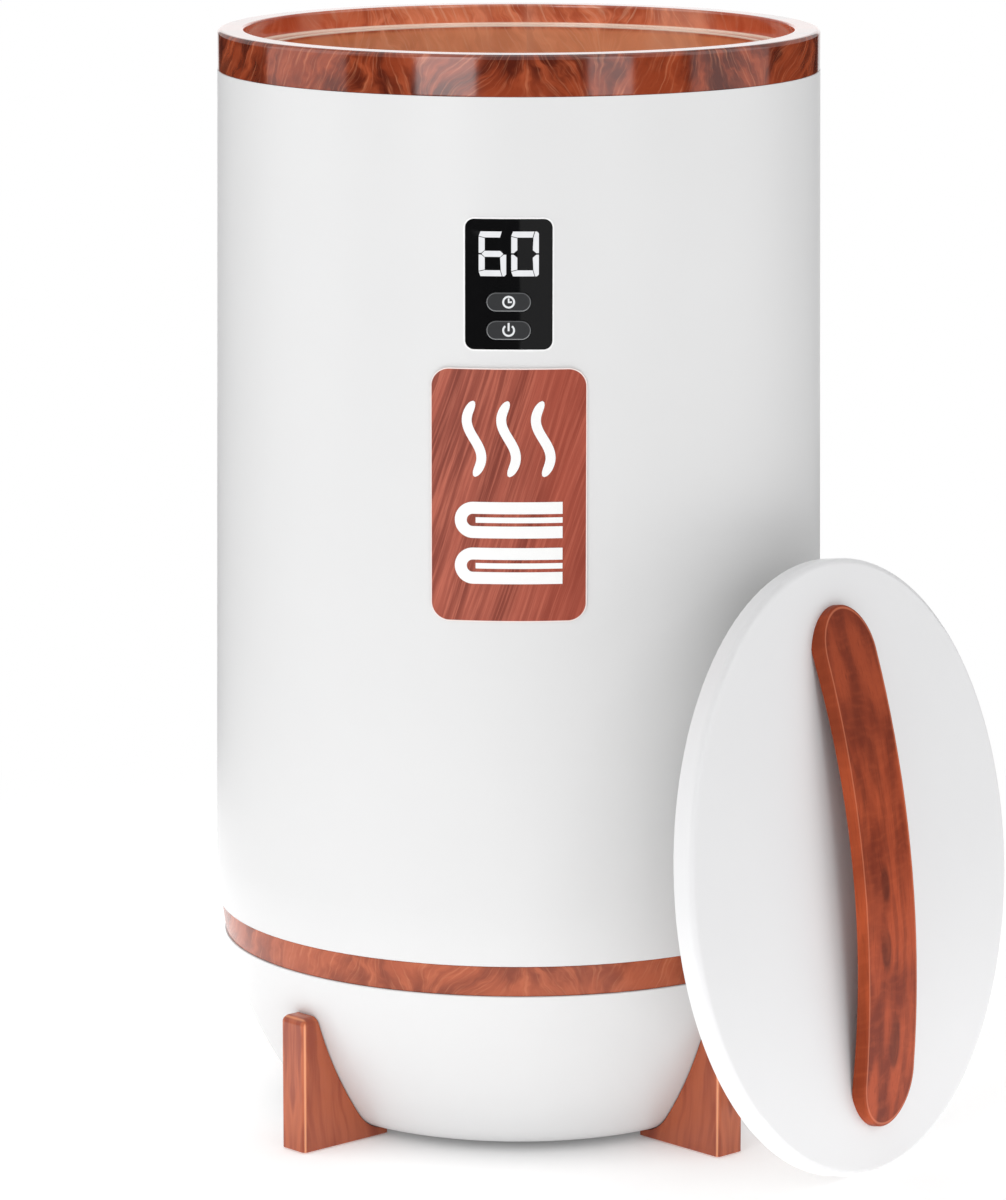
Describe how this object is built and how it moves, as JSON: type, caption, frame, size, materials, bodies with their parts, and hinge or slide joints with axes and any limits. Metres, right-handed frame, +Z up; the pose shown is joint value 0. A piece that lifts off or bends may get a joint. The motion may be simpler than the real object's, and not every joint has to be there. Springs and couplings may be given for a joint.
{
  "type": "bucket towel warmer",
  "caption": "Round bucket towel warmer on short splayed legs, white with reddish wood-look trim, a display with two keys, and its handled lid leaning against its side.",
  "frame": {"origin": "on the body's axis at floor level, midway between the four legs", "axes": "+Z up the body's axis; -Y out of the front, where the display and the plaque are; +X to the right of someone facing it"},
  "size_m": [0.3889, 0.3961, 0.5317],
  "materials": {
    "white_shell": "satin white",
    "white_lid": "satin white",
    "white_cover": "fine moulded texture",
    "white_liner": "satin",
    "white_seal": "soft silicone",
    "trim_film": "high gloss, reddish wood-look film",
    "plaque_film": "satin, reddish wood-look film with a pale edge",
    "leg_wood": "lacquered reddish wood",
    "handle_wood": "lacquered dark reddish wood",
    "black_fascia": "smooth gloss",
    "black_frame": "fine texture",
    "black_module": "smooth",
    "key_plastic": "fine texture with printed symbols",
    "lit_windows": "translucent, lit from behind",
    "black_rubber": "matte",
    "bucket_aluminium": "fine brushed",
    "heater_silicone": "matte with a fine weave",
    "lead_wire": "matte",
    "cable": "ribbed",
    "foam": "felted fibre",
    "circuit_board": "solder-masked",
    "screws": "plated",
    "white_socket": "plain",
    "capacitor_can": "sleeved can",
    "thermostat_can": "plain",
    "relay_case": "plain",
    "transformer_core": "taped winding",
    "sensor_can": "plain",
    "terminal_green": "plain",
    "fuse_body": "plain"
  },
  "bodies": {
    "body": {"outer_shell": "white_shell", "top_trim_ring": "trim_film", "base_band": "trim_film", "base_bowl": "white_shell", "base_cover": "white_cover", "base_cover_screws": "screws", "base_pad": "foam", "bucket_screws": "screws", "cable_socket": "white_socket", "control_fascia": "black_fascia", "control_housing": "black_frame", "cord_gland": "black_rubber", "deck_plate": "white_cover", "deck_screws": "screws", "digit_windows": "lit_windows", "display_board": "circuit_board", "display_board_screws": "screws", "display_cable": "cable", "display_module": "black_module", "filter_capacitor": "capacitor_can", "foot_pads": "black_rubber", "front_plaque": "plaque_film", "gland_nut": "black_frame", "heater_film": "heater_silicone", "heater_leads": "lead_wire", "housing_screws": "screws", "inner_bucket": "bucket_aluminium", "insulation_jacket": "foam", "key_switches": "black_module", "leg_front_left": "leg_wood", "leg_front_right": "leg_wood", "leg_rear_left": "leg_wood", "leg_rear_right": "leg_wood", "leg_screws": "screws", "overheat_thermostat": "thermostat_can", "power_board": "circuit_board", "power_board_screws": "screws", "power_relay": "relay_case", "power_transformer": "transformer_core", "temperature_sensor": "sensor_can", "terminal_block": "terminal_green", "thermal_fuse": "fuse_body"},
    "lid": {"lid_cover": "white_lid", "lid_liner": "white_liner", "liner_screws": "screws", "lid_seal": "white_seal", "lid_insulation": "foam", "lid_handle": "handle_wood", "handle_screws": "screws"},
    "timer_key": {"timer_button": "key_plastic", "timer_plunger": "black_module"},
    "power_key": {"power_button": "key_plastic", "power_plunger": "black_module"}
  },
  "joints": [
    {"name": "lid_lift", "type": "slide", "parent": "body", "child": "lid", "axis": [0.8468, -0.5148, 0.134], "range_m": [0, 0.3]},
    {"name": "timer_press", "type": "slide", "parent": "body", "child": "timer_key", "axis": [0, 1, 0], "range_m": [0, 0.0008], "stiffness_N_per_m": 1800},
    {"name": "power_press", "type": "slide", "parent": "body", "child": "power_key", "axis": [0, 1, 0], "range_m": [0, 0.0008], "stiffness_N_per_m": 1800}
  ]
}
